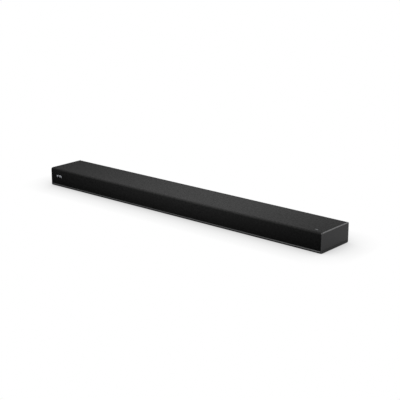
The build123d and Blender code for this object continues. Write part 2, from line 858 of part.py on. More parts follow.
def make_board_fixings():
    """Standoffs under the two boards, and the screws that hold the boards to them."""
    pieces = []
    for x, y in board_screw_places():
        hex_bar = Plane.XY.offset(z_floor) * (Pos(x, y) * RegularPolygon(standoff_radius, 6))
        z_bore = z_floor + standoff_floor
        pieces.append(extrude(hex_bar, z_board - z_floor) - rod(x, y, z_bore, z_board, pilot_radius))
        pieces.append(Pos(x, y, board_top) * make_screw(board_top - z_bore - screw_tip))
    return pieces


# Boards and what they carry

def make_board(side):
    """Circuit board on four standoffs, between the baffle and the tray behind it."""
    middle = side * bay_middle
    board = slab(middle - board_length / 2, middle + board_length / 2, y_chamber + board_front, board_back(),
                 z_board, z_board + board_wall)
    return board - [rod(x, y, z_board, z_board + board_wall, screw_radius) for x, y in board_screw_places()]


board_top = z_board + board_wall


def make_heatsink():
    """Extruded block with upright fins on the main board."""
    outline = Pos(0, heatsink_base / 2) * Rectangle((fin_count - 1) * fin_pitch + fin_wall, heatsink_base)
    outline += [Pos((i - (fin_count - 1) / 2) * fin_pitch, (heatsink_base + fin_height) / 2)
                * Rectangle(fin_wall, fin_height) for i in range(fin_count)]
    y = y_chamber + board_front + heatsink_from_edge
    plane = Plane(origin=(bay_middle - heatsink_shift, y, board_top), x_dir=(1, 0, 0), z_dir=(0, -1, 0))
    return extrude(plane * outline, -heatsink_length)


def make_wireless_module():
    """Small radio board with a shield lid."""
    x0 = bay_middle + radio_shift - radio_length / 2
    y = y_chamber + board_front + radio_from_edge
    z_lid = board_top + radio_wall
    plate = slab(x0, x0 + radio_length, y - radio_width / 2, y + radio_width / 2, board_top, z_lid)
    lid = slab(x0 + lid_margin, x0 + lid_margin + lid_length, y - lid_width / 2, y + lid_width / 2,
               z_lid, z_lid + lid_height)
    return plate + chamfer(lid.edges().group_by(Axis.Z)[-1], lid_bevel)


def make_transformer():
    """Winding between the two halves of a core."""
    place = Pos(transformer_shift - bay_middle, y_chamber + board_front + transformer_from_edge,
                board_top + core_height / 2)
    bobbin = RectangleRounded(winding_length, winding_width, winding_corner)
    winding = extrude(bobbin, winding_height / 2, both=True)
    return place * (Box(core_length, core_width, core_height) + winding)


def make_capacitor():
    """Mains capacitor lying on the power board, with a groove near one end and a rim at the other."""
    waist = can_radius - can_groove
    brim = can_radius - can_rim
    recess = can_length - can_groove
    can = turned([(0, 0), (can_radius, 0), (can_radius, can_groove_from_end - can_groove),
                  (waist, can_groove_from_end), (can_radius, can_groove_from_end + can_groove),
                  (can_radius, can_length), (brim, can_length), (brim - can_groove, recess), (0, recess)])
    place = Pos(-bay_middle - can_shift, y_chamber + board_front + can_from_edge, board_top + can_radius)
    return place * Rot(0, 90, 0) * can


# Trays and sockets

def tray_middle():
    """Height of the middle of the trays."""
    return z_tray + tray_height / 2


def make_tray(x, width, windows):
    """Open box set into the rear panel, with a flange behind it and socket windows."""
    outer = (width + 2 * tray_wall, tray_height + 2 * tray_wall)
    middle = tray_middle()
    tray = block_through(x, middle, y_tray - tray_wall, y_back, *outer)
    tray += block_through(x, middle, y_panel - tray_wall, y_panel,
                          outer[0] + 2 * tray_flange, outer[1] + 2 * tray_flange)
    tray -= block_through(x, middle, y_tray, y_back, width, tray_height)
    for wx, wz, w, h in windows:
        tray -= block_through(wx, wz, y_tray - tray_wall, y_tray, w + 2 * slip, h + 2 * slip)
    return tray


socket_face = y_tray + socket_proud
socket_back = socket_face - socket_depth


def socket_place(index):
    """Place of a socket in the row of four."""
    return terminal_x + (index - 1.5) * socket_pitch


def socket_window(x, size):
    """Window for a socket that stands on its board."""
    return (x, board_top + size[1] / 2, size[0], size[1])


def socket_body(x, size):
    """Plain housing of a socket, from the board to a little past the tray's wall."""
    return block_through(x, board_top + size[1] / 2, socket_back, socket_face, *size)


def socket_mouth(x, size, outline, floor):
    """Hollow of one outline in the middle of a socket, down to a floor of some thickness."""
    plane = Plane(origin=(x, socket_face, board_top + size[1] / 2), x_dir=(1, 0, 0), z_dir=(0, -1, 0))
    return extrude(plane * outline, socket_depth - floor)


def contact_blade(x, size, rise):
    """Tongue that carries the contacts, a little above the middle of a socket."""
    z = board_top + size[1] / 2 + rise
    return block_through(x, z, socket_back + socket_floor - blade_root, socket_face - blade_inset,
                         blade_width, blade_wall)


def make_hdmi(x):
    """Shell with two sloping lower corners and a tongue."""
    mouth = Rectangle(hdmi_size[0] - 2 * shell_wall, hdmi_size[1] - 2 * shell_wall)
    mouth = chamfer(mouth.vertices().group_by(Axis.Y)[0], hdmi_corner)
    shell = socket_body(x, hdmi_size) - socket_mouth(x, hdmi_size, mouth, socket_floor)
    return shell + contact_blade(x, hdmi_size, hdmi_blade_rise)


def make_optical(x):
    """Square socket with two cut corners."""
    mouth = Rectangle(optical_mouth, optical_mouth)
    mouth = chamfer(mouth.vertices().group_by(Axis.Y)[-1], optical_corner)
    return socket_body(x, optical_size) - socket_mouth(x, optical_size, mouth, optical_floor)


def make_usb(x):
    """Flat shell with a tongue under its roof."""
    mouth = Rectangle(usb_size[0] - 2 * shell_wall, usb_size[1] - 2 * shell_wall)
    shell = socket_body(x, usb_size) - socket_mouth(x, usb_size, mouth, socket_floor)
    return shell + contact_blade(x, usb_size, usb_blade_rise)


def make_mains_inlet():
    """Two-pin inlet with a rounded well."""
    well = stadium(*inlet_well)
    inlet = socket_body(mains_x, inlet_size) - socket_mouth(mains_x, inlet_size, well, socket_floor)
    for turn in (-1, 1):
        inlet += rod_through(mains_x + turn * pin_pitch / 2, board_top + inlet_size[1] / 2,
                             socket_back + socket_floor - blade_root, socket_face - blade_inset, pin_radius)
    return inlet


# Keys

def key_z():
    """Height of the key row."""
    return z_axis


def key_places():
    """Places of the five keys along the bar."""
    return [key_row_x + (i - 2) * key_pitch for i in range(5)]


flange_back = y_panel - 2 * key_play
flange_front = flange_back - key_flange
switch_face = flange_front - key_travel - key_play


def key_board_y():
    """Front face of the key board."""
    return switch_face - switch_height - board_wall


def key_board_reach():
    """Distance from the middle of the key row to the bosses that hold its board."""
    return 2 * key_pitch + key_width / 2 + key_flange_reach + key_boss_gap + standoff_radius


def make_key(x):
    """Rounded cap in the panel's hole, a flange that keeps it in, and a stem."""
    z = key_z()
    cap = block_through(x, z, flange_front, y_back - key_inset, key_width, key_height, key_corner)
    face = cap.faces().sort_by(Axis.Y)[-1]
    key = chamfer(face.edges(), key_bevel)
    key += block_through(x, z, flange_front, flange_back, key_width + 2 * key_flange_reach,
                         key_height + 2 * key_flange_reach, key_corner)
    return key + rod_through(x, z, switch_face - key_stem_entry, flange_front, key_stem_radius)


def make_key_board():
    """Upright board with a push switch behind each key."""
    z = key_z()
    width = 2 * (key_board_reach() + standoff_radius + board_edge)
    y = key_board_y()
    y_bore = switch_face - key_stem_entry - 2 * key_travel
    pieces = [block_through(key_row_x, z, y, y + board_wall, width, key_board_height)]
    for x in key_places():
        switch = block_through(x, z, y + board_wall, switch_face, switch_size, switch_size)
        pieces.append(switch - rod_through(x, z, y_bore, switch_face, key_stem_radius + key_play))
    return pieces


# Readout

def make_readout_board():
    """Board in front of the baffle, with a remote-control receiver beside the readout."""
    y = readout_board_y()
    board = block_through(readout_board_x, readout_z, y, y + board_wall,
                          readout_board_length, readout_board_height)
    x = readout_board_x + readout_board_length / 2 - receiver_from_end
    receiver = block_through(x, readout_z, y - receiver_depth, y, receiver_width, receiver_height)
    lens = Pos(x, y - receiver_depth, readout_z) * Sphere(receiver_lens_radius)
    return [board, receiver + lens]


def make_readout():
    """Light block that fills the carrier's window, just behind the cloth."""
    y_face = y_carrier + readout_setback
    return block_through(readout_x, readout_z, y_face, readout_board_y(), readout_length, readout_height)


# Harness

def lane(index):
    """Place across the bar of one of the leads that lie side by side on the floor."""
    return y_chamber + board_front + 2 * standoff_radius + lead_from_standoff + index * lead_pitch


def make_harness():
    """Header on the main board, and a lead from it along the floor to each woofer's frame."""
    x_drop = x_inner + divider_wall / 2 + board_margin / 2
    x_header = bay_middle - board_length / 2 + board_edge
    z_plug = board_top + 2 * lead_radius
    z_low = z_floor + lead_radius + slip
    z_frame = z_axis - opening_size()[1] / 2 - basket_wall - slip
    y_frame = y_baffle + solder_tag_depth
    pieces = [slab(x_header, x_header + header_length, lane(0) - header_margin, lane(3) + header_margin,
                   board_top, board_top + header_height)]
    # The leads that turn off first lie nearest to the front, so that none crosses another.
    for x, index in zip(woofer_places, (2, 1, 0, 3)):
        y = lane(index)
        path = FilletPolyline((x_header, y, z_plug), (x_drop, y, z_plug), (x_drop, y, z_low), (x, y, z_low),
                              (x, y_frame, z_low), (x, y_frame, z_frame), radius=lead_bend)
        pieces.append(sweep(Plane(origin=path @ 0, z_dir=path % 0) * Circle(lead_radius), path))
    return pieces


# All the pieces by name

nodes = {
    "bottom_cover": make_bottom_cover(),
    "rubber_feet": make_feet(),
    "left_end_cap": make_end_cap(-1),
    "right_end_cap": make_end_cap(1),
    "grille_cloth": make_cloth(),
    "grille_carrier": make_carrier(),
    "top_deck": make_deck(),
    "front_baffle": make_baffle(),
    "chamber_dividers": make_dividers(),
    "bass_port_left": make_port(-1),
    "bass_port_right": make_port(1),
    "wall_inserts": make_inserts(),
    "driver_gaskets": make_gaskets(),
    "driver_screws": make_driver_screws(),
    "base_screws": make_base_screws(),
    "board_fixings": make_board_fixings(),
    "main_board": make_board(1),
    "power_board": make_board(-1),
    "amp_heatsink": make_heatsink(),
    "wireless_module": make_wireless_module(),
    "mains_transformer": make_transformer(),
    "bulk_capacitor": make_capacitor(),
    "terminal_bay": make_tray(terminal_x, terminal_width, [
        socket_window(socket_place(0), hdmi_size),
        socket_window(socket_place(1), hdmi_size),
        socket_window(socket_place(2), optical_size),
        socket_window(socket_place(3), usb_size)]),
    "mains_bay": make_tray(mains_x, mains_width, [socket_window(mains_x, inlet_size)]),
    "hdmi_sockets": [make_hdmi(socket_place(0)), make_hdmi(socket_place(1))],
    "optical_socket": make_optical(socket_place(2)),
    "usb_socket": make_usb(socket_place(3)),
    "mains_inlet": make_mains_inlet(),
    "key_board": make_key_board(),
    "display_board": make_readout_board(),
    "display_module": make_readout(),
    "speaker_harness": make_harness(),
}

panel_names = ["rear_panel_left", "rear_panel_mains", "rear_panel_middle", "rear_panel_terminal",
               "rear_panel_right"]
for name, panel in zip(panel_names, make_rear_panels()):
    nodes[name] = panel

key_names = ["key_volume_up", "key_volume_down", "key_pairing", "key_input", "key_power"]
for name, x in zip(key_names, key_places()):
    nodes[name] = make_key(x)

basket, motor, cone, suspension = make_basket(), make_motor(), make_cone(), make_suspension()
for number, x in enumerate(woofer_places, 1):
    place = facing_front(x, z_axis)
    nodes[f"woofer_basket_{number}"] = place * basket
    nodes.setdefault("woofer_motors", []).extend(place * piece for piece in motor)
    nodes[f"woofer_cone_{number}"] = place * cone
    nodes[f"woofer_suspension_{number}"] = [place * piece for piece in suspension]

tweeter_body, tweeter_dome = make_tweeter_body(), make_tweeter_dome()
for number, x in enumerate(tweeter_places, 1):
    place = facing_front(x, z_axis)
    nodes.setdefault("tweeter_bodies", []).extend(place * piece for piece in tweeter_body)
    nodes[f"tweeter_dome_{number}"] = place * tweeter_dome

os.makedirs("parts", exist_ok=True)
for name, shape in nodes.items():
    solid = Compound(children=shape) if isinstance(shape, list) else shape
    export_step(solid, f"parts/{name}.step")
print(len(nodes), "pieces written")
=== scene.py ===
# %% [markdown]
# A soundbar, dressed for the studio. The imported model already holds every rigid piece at
# its real size, in metres, so this lesson adds what solids can't show: the stretched cloth,
# the figures that shine through it, the printed marks and the finish of each material.
# X runs along the bar, Y from its front to its back, and Z up from the table.

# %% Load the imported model
import math

import bmesh
import bpy
import numpy as np
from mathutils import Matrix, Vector


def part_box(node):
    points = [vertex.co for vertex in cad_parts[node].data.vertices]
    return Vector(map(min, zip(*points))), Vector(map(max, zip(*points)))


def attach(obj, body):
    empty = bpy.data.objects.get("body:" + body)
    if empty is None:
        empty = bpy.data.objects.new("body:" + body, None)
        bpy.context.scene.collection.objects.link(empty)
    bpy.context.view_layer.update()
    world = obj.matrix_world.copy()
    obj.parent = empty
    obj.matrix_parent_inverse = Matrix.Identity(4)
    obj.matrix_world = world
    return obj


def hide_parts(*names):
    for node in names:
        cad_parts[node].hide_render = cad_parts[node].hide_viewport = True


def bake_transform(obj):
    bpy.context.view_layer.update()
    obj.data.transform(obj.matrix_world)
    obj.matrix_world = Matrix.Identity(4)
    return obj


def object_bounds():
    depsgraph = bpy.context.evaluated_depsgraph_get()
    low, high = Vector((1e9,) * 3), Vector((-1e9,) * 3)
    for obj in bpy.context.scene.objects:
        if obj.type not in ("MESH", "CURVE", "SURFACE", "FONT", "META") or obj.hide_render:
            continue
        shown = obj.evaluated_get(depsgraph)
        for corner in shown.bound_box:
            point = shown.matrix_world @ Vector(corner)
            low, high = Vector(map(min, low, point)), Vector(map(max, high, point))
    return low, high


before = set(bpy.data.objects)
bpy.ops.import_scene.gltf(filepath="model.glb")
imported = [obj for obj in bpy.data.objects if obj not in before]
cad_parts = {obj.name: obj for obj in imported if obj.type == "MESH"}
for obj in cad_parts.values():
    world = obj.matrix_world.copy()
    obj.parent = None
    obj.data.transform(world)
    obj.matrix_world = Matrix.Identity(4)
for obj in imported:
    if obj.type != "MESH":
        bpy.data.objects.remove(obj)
cad_box = [[float(value) for value in corner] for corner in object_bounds()]
mm = 0.001
print("box in mm:", np.round(np.array(cad_box) / mm, 1).tolist())

# %% [markdown]
# The camera stands ahead of the bar, to its right and a little above it. A long lens far away
# keeps the long edges nearly parallel, as product pictures do. It could be set by eye in the
# viewport, but a fit to the corners of the bar lands them within a pixel, so its place is given
# as an aim point, two angles and a distance.

# %% Camera
photo_side = 400
focal_in_pixels = 1007.0
camera_turn = math.radians(40.50)
camera_tilt = math.radians(16.38)
camera_distance = 3.3733
camera_aim = Vector((24.0, 43.2, 31.5)) * mm

scene = bpy.context.scene
sight = Vector((-math.sin(camera_turn) * math.cos(camera_tilt),
                math.cos(camera_turn) * math.cos(camera_tilt),
                -math.sin(camera_tilt)))
lens = bpy.data.cameras.new("studio_camera")
lens.sensor_width = 36.0
lens.lens = lens.sensor_width * focal_in_pixels / photo_side
camera = bpy.data.objects.new("studio_camera", lens)
camera.location = camera_aim - camera_distance * sight
camera.rotation_euler = sight.to_track_quat("-Z", "Y").to_euler()
scene.collection.objects.link(camera)
scene.camera = camera
scene.view_settings.view_transform = "Standard"
print("lens in mm:", round(lens.lens, 1))

# %% [markdown]
# Three helpers serve every material. Screen colours are written as hex codes and have to be
# unwound from the screen's curve before light is added up with them. A shader is a small graph,
# which could be drawn in the editor. Written down, it can be read and repeated: one function
# adds any node, with its fields, its sockets and the stops of its ramp, and one starts a graph.

# %% Colours and nodes
def linear(code):
    """Linear RGBA of an sRGB hex code: v / 12.92 in the dark, ((v + 0.055) / 1.055) ** 2.4 above."""
    screen = np.array([int(code[i:i + 2], 16) for i in (1, 3, 5)]) / 255
    light = np.where(screen <= 0.04045, screen / 12.92, ((screen + 0.055) / 1.055) ** 2.4)
    return (*light.tolist(), 1.0)


def add(tree, kind, sockets=(), stops=(), **fields):
    """Adds a node. Fields are its settings, sockets its inputs, as values or as outputs to join, and
    stops the places and colours along its ramp, from the low end on."""
    node = tree.nodes.new("ShaderNode" + kind)
    for name, value in fields.items():
        setattr(node, name, value)
    for name, value in dict(sockets).items():
        if isinstance(value, bpy.types.NodeSocket):
            tree.links.new(value, node.inputs[name])
        else:
            node.inputs[name].default_value = value
    for number, (place, colour) in enumerate(stops):
        ramp = node.color_ramp.elements
        stop = ramp[number] if number < len(ramp) else ramp.new(place)
        stop.position = place
        stop.color = linear(colour)
    return node


def blank(name):
    """A new material with an empty graph."""
    material = bpy.data.materials.new(name)
    material.use_nodes = True
    material.node_tree.nodes.clear()
    return material, material.node_tree


print("charcoal in linear light:", np.round(linear("#404042"), 4).tolist())

# %% [markdown]
# The studio is a white room with one softbox above the bar, ahead of it and right of its middle. It
# lights the top, grazes the bowed front and fades towards both ends. A small lamp behind draws a
# bright line along the bevels of the caps. The room could simply be a white world, but that would
# wash out the black cloth. So Light Path tells the rays apart: the room is white to the eye and to
# reflections, and only a dim fill to matt surfaces.

# %% The room
def seen_directly(tree):
    """Socket that is 1 for rays from the camera, from a reflection or through glass, and 0 otherwise."""
    path = add(tree, "LightPath").outputs
    mirror = add(tree, "Math", {0: path["Is Camera Ray"], 1: path["Is Glossy Ray"]}, operation="ADD")
    glass = add(tree, "Math", {0: mirror.outputs[0], 1: path["Is Transmission Ray"]}, operation="ADD",
                use_clamp=True)
    return glass.outputs[0]


room_fill = 0.05

room = bpy.data.worlds.new("white_room")
room.use_nodes = True
room.node_tree.nodes.clear()
room.cycles.sampling_method = "NONE"
fill = add(room.node_tree, "Background", {"Color": linear("#ffffff"), "Strength": room_fill})
white = add(room.node_tree, "Background", {"Color": linear("#ffffff"), "Strength": 1.0})
both = add(room.node_tree, "MixShader", {0: seen_directly(room.node_tree), 1: fill.outputs[0],
                                         2: white.outputs[0]})
add(room.node_tree, "OutputWorld", {"Surface": both.outputs[0]})
scene.world = room
print("room fill:", room_fill)

# %% The lamps
def lamp(name, place, aim, sides, watts):
    """Square or oblong lamp that faces a point. Its light at r metres is about watts / (pi r) ** 2."""
    light = bpy.data.lights.new(name, "AREA")
    light.shape = "RECTANGLE"
    light.size, light.size_y = sides
    light.energy = watts
    box = bpy.data.objects.new(name, light)
    box.location = place
    box.rotation_euler = (aim - place).to_track_quat("-Z", "Y").to_euler()
    scene.collection.objects.link(box)
    print(name, "light on the bar:", round(watts / (math.pi * (place - aim).length) ** 2, 2))


bar_middle = Vector((0.0, 0.0, cad_box[1][2]))
softbox_place = Vector((220.0, -145.0, 885.0)) * mm
softbox_sides = (600.0 * mm, 420.0 * mm)
softbox_watts = 8.05
edge_place = Vector((960.0, 960.0, 870.0)) * mm
edge_sides = (500.0 * mm, 500.0 * mm)
edge_watts = 3.35
lamp("softbox", softbox_place, bar_middle, softbox_sides, softbox_watts)
lamp("edge_lamp", edge_place, bar_middle, edge_sides, edge_watts)

# %% [markdown]
# The floor is a white sheet that runs out to the horizon. It is darker where the bar shuts off
# the light of the room, which gives the short soft shadow round the foot of the bar and a dark
# gap under it. The lamps alone would throw it to one side, so an Ambient Occlusion node measures
# the open sky over each point. Light that the floor throws back is kept low, so the front stays dark.

# %% The floor
floor_reach = 30.0
shadow_reach = 110.0 * mm
shadow_samples = 16
shadow_stops = ((0.22, "#101010"), (0.5, "#d2d2d2"), (1.0, "#ffffff"))
floor_bounce = "#282828"


def pale_floor():
    """White floor: its share of open sky, as far as the shadow reaches, sets its brightness."""
    material, tree = blank("pale_floor")
    material.cycles.emission_sampling = "NONE"
    sky = add(tree, "AmbientOcclusion", {"Distance": shadow_reach}, samples=shadow_samples)
    shade = add(tree, "ValToRGB", {0: sky.outputs["AO"]}, stops=shadow_stops)
    shown = add(tree, "Emission", {"Color": shade.outputs["Color"], "Strength": 1.0})
    bounce = add(tree, "BsdfDiffuse", {"Color": linear(floor_bounce)})
    whole = add(tree, "MixShader", {0: seen_directly(tree), 1: bounce.outputs[0], 2: shown.outputs[0]})
    add(tree, "OutputMaterial", {"Surface": whole.outputs[0]})
    return material


floor_mesh = bpy.data.meshes.new("floor")
corners = np.array([(-1, -1, 0), (1, -1, 0), (1, 1, 0), (-1, 1, 0)]) * floor_reach
floor_mesh.from_pydata(corners.tolist(), [], [(0, 1, 2, 3)])
floor_mesh.materials.append(pale_floor())
floor = bpy.data.objects.new("floor", floor_mesh)
scene.collection.objects.link(floor)
print("floor reach in m:", floor_reach)

# %% [markdown]
# Every new piece here is a closed surface through rings of points. It could be pushed about in
# Edit Mode, but a formula in two parameters is exact and easy to change. The rings are worked out
# as whole arrays, and this helper joins each ring to the next with quads and shuts both ends.
# That gives watertight meshes with no loop over points.

# %% Surfaces from rings
weld_reach = 0.001 * mm
sharp_from = math.radians(40)


def skin(name, forms, uv=None):
    """One mesh piece of closed forms. A form is an array of rings of points, ring by point by xyz.

    A form gets a lid at both ends, unless its last ring meets its first, which makes a hoop.
    """
    points = []
    faces = []
    for rings in forms:
        first = sum(len(block) for block in points)
        count, size = rings.shape[:2]
        index = first + np.arange(count * size).reshape(count, size)
        ahead = np.roll(index, -1, axis=1)
        quads = np.stack([index[:-1], ahead[:-1], ahead[1:], index[1:]], axis=-1)
        faces += quads.reshape(-1, 4).tolist()
        if not np.allclose(rings[0], rings[-1]):
            faces += [index[0, ::-1].tolist(), index[-1].tolist()]
        points.append(rings.reshape(-1, 3))
    mesh = bpy.data.meshes.new(name)
    mesh.from_pydata(np.concatenate(points).tolist(), [], faces)
    if uv is not None:
        corner_points = np.empty(len(mesh.loops), np.int32)
        mesh.loops.foreach_get("vertex_index", corner_points)
        layer = mesh.uv_layers.new(name="weave")
        layer.data.foreach_set("uv", uv[corner_points].astype(np.float32).ravel())
    tidy = bmesh.new()
    tidy.from_mesh(mesh)
    bmesh.ops.remove_doubles(tidy, verts=tidy.verts, dist=weld_reach)
    bmesh.ops.recalc_face_normals(tidy, faces=tidy.faces)
    tidy.to_mesh(mesh)
    tidy.free()
    mesh.polygons.foreach_set("use_smooth", np.ones(len(mesh.polygons), bool))
    mesh.set_sharp_from_angle(angle=sharp_from)
    piece = bpy.data.objects.new(name, mesh)
    scene.collection.objects.link(piece)
    print(name, "faces:", len(mesh.polygons))
    return piece


print("edges stay sharp from degrees:", round(math.degrees(sharp_from)))

# %% Finish, body and slot
def dress(piece, material, body):
    """Gives a new piece its finish, the body that it moves with and the slot that it is painted by."""
    piece.data.materials.append(material)
    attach(piece, body)
    return piece


# %% [markdown]
# The cloth is one sheet of knitted speaker cloth, pulled over the front and the top of the
# carrier and tucked in at its edges. A cloth simulation would only pull it flat again, so it is
# drawn directly: a section line with a shallow bow, a rounded edge and a straight top, carried
# along the bar. The sheet is a little thinner than its solid, so its back clears the carrier.

# %% The cloth's section line
cloth_low, cloth_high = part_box("grille_cloth")
cloth_thickness = 0.6 * mm
front_bow = 1.5 * mm
edge_radius = 6.5 * mm
bow_points, edge_points, top_points = 33, 17, 25

cloth_half = (cloth_high.z - cloth_low.z) / 2
cloth_middle = cloth_low.z + cloth_half
bow_radius = (cloth_half ** 2 + front_bow ** 2) / (2 * front_bow)
bow_y = cloth_low.y + bow_radius


def bow_face(z):
    """Place in Y of the bowed front at a height: the near side of a circle of the bow's radius."""
    return bow_y - np.sqrt(bow_radius ** 2 - (z - cloth_middle) ** 2)


def cloth_section():
    """Outer line of the cloth, as points and outward normals in (y, z), from the foot to the back.

    The front is an arc of radius R = (h ** 2 + b ** 2) / 2b for a half height h and a bow b. The
    edge is an arc of radius r that touches it from inside, with its centre at R - r from the
    bow's centre. The top is a straight line.
    """
    edge_z = cloth_high.z - edge_radius
    edge_y = bow_y - math.sqrt((bow_radius - edge_radius) ** 2 - (edge_z - cloth_middle) ** 2)
    meeting = math.atan2(edge_z - cloth_middle, bow_y - edge_y)
    foot = math.asin((cloth_low.z - cloth_middle) / bow_radius)
    bow = np.linspace(foot, meeting, bow_points)
    edge = np.linspace(meeting, math.pi / 2, edge_points)[1:]
    top = np.linspace(edge_y, cloth_high.y, top_points)[1:]
    y = np.concatenate([bow_y - bow_radius * np.cos(bow), edge_y - edge_radius * np.cos(edge), top])
    z = np.concatenate([cloth_middle + bow_radius * np.sin(bow), edge_z + edge_radius * np.sin(edge),
                        np.full(len(top), cloth_high.z)])
    lean = np.concatenate([bow, edge, np.full(len(top), math.pi / 2)])
    return np.stack([y, z], 1), np.stack([-np.cos(lean), np.sin(lean)], 1)


section, outward = cloth_section()
steps = np.linalg.norm(np.diff(section, axis=0), axis=1)
along_section = np.concatenate([[0.0], np.cumsum(steps)])
print("cloth from foot to back in mm:", round(along_section[-1] / mm, 1))

# %% The cloth
hem_points = 9
hem_rings = 6
middle_rings = 121


def stretched_cloth():
    """Rings and weave coordinates of the cloth: its section with round hems, carried along X.

    A ring runs up the outer face, round the rear hem, back down the inner face and round the foot
    hem. Over the last half thickness at each end the ring thins as a half circle.
    """
    half = cloth_thickness / 2
    level = section - half * outward
    run = np.stack([outward[:, 1], -outward[:, 0]], 1)
    level[0] += half * run[0]
    level[-1] -= half * run[-1]
    turn = np.linspace(0, math.pi, hem_points)[1:-1, None]
    rear_hem = np.cos(turn) * outward[-1] + np.sin(turn) * run[-1]
    foot_hem = -np.cos(turn) * outward[0] - np.sin(turn) * run[0]
    spots = np.concatenate([level, np.repeat(level[-1:], len(turn), 0), level[::-1],
                            np.repeat(level[:1], len(turn), 0)])
    away = np.concatenate([outward, rear_hem, -outward[::-1], foot_hem])
    across = np.concatenate([along_section, np.full(len(turn), along_section[-1]), along_section[::-1],
                             np.zeros(len(turn))])
    reach = cloth_high.x - half
    roll = np.radians(np.linspace(0, 80, hem_rings)[1:])
    middle = np.linspace(-reach, reach, middle_rings)
    x = np.concatenate([-reach - half * np.sin(roll[::-1]), middle, reach + half * np.sin(roll)])
    thin = half * np.concatenate([np.cos(roll[::-1]), np.ones(len(middle)), np.cos(roll)])
    rings = np.empty((len(x), len(spots), 3))
    rings[..., 0] = x[:, None]
    rings[..., 1:] = spots + thin[:, None, None] * away
    weave = np.stack(np.broadcast_arrays(x[:, None], across), -1)
    return rings, weave.reshape(-1, 2)


cloth_rings, cloth_weave = stretched_cloth()
cloth = skin("stretched_cloth", [cloth_rings], uv=cloth_weave)

# %% [markdown]
# Speaker cloth is knitted from black polyester thread. Its loops leave small holes for the
# sound, so it looks matt and a little open, and it shines a touch where it is seen along its
# surface. A picture of a weave would need a file, so two Wave textures, one along the bar and
# one up its face, make the loops where both are high. Threads 0.5 mm apart can't show in a
# picture of the whole bar, so they are drawn three times as coarse, with a soft mottling in the
# dye over that.

# %% Knitted cloth
thread_spacing = 1.5 * mm
course_spacing = 1.2 * mm
mottle_size = 7.0 * mm
loop_rise = 0.2 * mm


def wave_scale(spacing):
    """Scale of a Wave texture for a spacing: its bands repeat every pi / 10 at scale 1."""
    return math.pi / 10 / spacing


def knitted_cloth():
    """Black knitted polyester: loops in two directions, dark holes, faint sheen and mottling."""
    material, tree = blank("knitted_polyester")
    weave = add(tree, "UVMap", uv_map="weave").outputs[0]
    rows = add(tree, "TexWave", {"Vector": weave, "Scale": wave_scale(thread_spacing)},
               bands_direction="X")
    courses = add(tree, "TexWave", {"Vector": weave, "Scale": wave_scale(course_spacing)},
                  bands_direction="Y")
    loops = add(tree, "Math", {0: rows.outputs["Fac"], 1: courses.outputs["Fac"]}, operation="MULTIPLY")
    mottle = add(tree, "TexNoise", {"Vector": weave, "Scale": 1 / mottle_size, "Detail": 3.0})
    shade = add(tree, "Math", {0: loops.outputs[0], 1: mottle.outputs["Fac"]}, operation="ADD")
    dye = add(tree, "ValToRGB", {0: shade.outputs[0]}, stops=((0.3, "#2a2a2a"), (1.0, "#4b4b4b")))
    relief = add(tree, "Bump", {"Height": loops.outputs[0], "Strength": 0.35, "Distance": loop_rise})
    shader = add(tree, "BsdfPrincipled", {
        "Base Color": dye.outputs["Color"], "Roughness": 0.95, "Specular IOR Level": 0.01,
        "Diffuse Roughness": 0.6, "Sheen Weight": 0.04, "Sheen Roughness": 0.5,
        "Normal": relief.outputs["Normal"]})
    add(tree, "OutputMaterial", {"Surface": shader.outputs[0]})
    return material


dress(cloth, knitted_cloth(), "housing")
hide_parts("grille_cloth")
print("cloth cut to mm:", round(along_section[-1] / mm, 1), "by", round(2 * cloth_high.x / mm, 1))

# %% [markdown]
# Behind the cloth at the left sits a small readout. Only its lit bars show, as a soft white
# glow in the knit. A Text object would be quicker, but a font's strokes aren't the bars of a
# readout. So each bar is a flat pebble set into the cloth's face: two angles sweep a rounded
# outline from one pole to the other. A plain time of day stands in it.

# %% A flat pebble
def pebble(centre, half_length, half_height, rise, lean=0.0):
    """Flat pebble in the XZ plane. For angles a and b, x = A cos b |cos a| ** 0.5 with the sign of
    cos a, z = B cos b |sin a| ** 0.5 with the sign of sin a, and y = rise sin b, turned by lean."""
    a = np.linspace(0, 2 * math.pi, 24, endpoint=False)
    b = np.radians(np.linspace(-80, 80, 7))[:, None]
    x = half_length * np.cos(b) * np.sign(np.cos(a)) * np.abs(np.cos(a)) ** 0.5
    z = half_height * np.cos(b) * np.sign(np.sin(a)) * np.abs(np.sin(a)) ** 0.5
    y = np.broadcast_to(rise * np.sin(b), x.shape)
    rings = np.stack([x * math.cos(lean) - z * math.sin(lean), y,
                      x * math.sin(lean) + z * math.cos(lean)], -1)
    return rings + np.array(centre)


print("rings and points of a pebble:", pebble((0.0, 0.0, 0.0), mm, mm, mm).shape[:2])

# %% The lit figures
figure_width = 4.6 * mm
figure_height = 5.2 * mm
figure_pitch = 7.0 * mm
bar_width = 0.7 * mm
bar_rise = 0.12 * mm
time_of_day = "12:00"
# The bars of a figure: place to the side and up, in half figures, and whether the bar stands upright.
bars = {"a": (0, 1, 0), "b": (1, 0.5, 1), "c": (1, -0.5, 1), "d": (0, -1, 0), "e": (-1, -0.5, 1),
        "f": (-1, 0.5, 1), "g": (0, 0, 0)}
lit_bars = {"0": "abcdef", "1": "bc", "2": "abged"}


def figure_forms(sign, x, z):
    """Pebbles of one figure about a point: a bar for each lit segment, or two dots for a colon."""
    if sign == ":":
        spots = [(x, z + side * figure_height / 5) for side in (-1, 1)]
        return [pebble((px, bow_face(pz), pz), bar_width / 2, bar_width / 2, bar_rise) for px, pz in spots]
    forms = []
    for across, up, upright in (bars[letter] for letter in lit_bars[sign]):
        pz = z + up * figure_height / 2
        place = (x + across * figure_width / 2, bow_face(pz), pz)
        length = (figure_height / 2 if upright else figure_width) - bar_width
        sides = (bar_width / 2, length / 2) if upright else (length / 2, bar_width / 2)
        forms.append(pebble(place, *sides, bar_rise))
    return forms


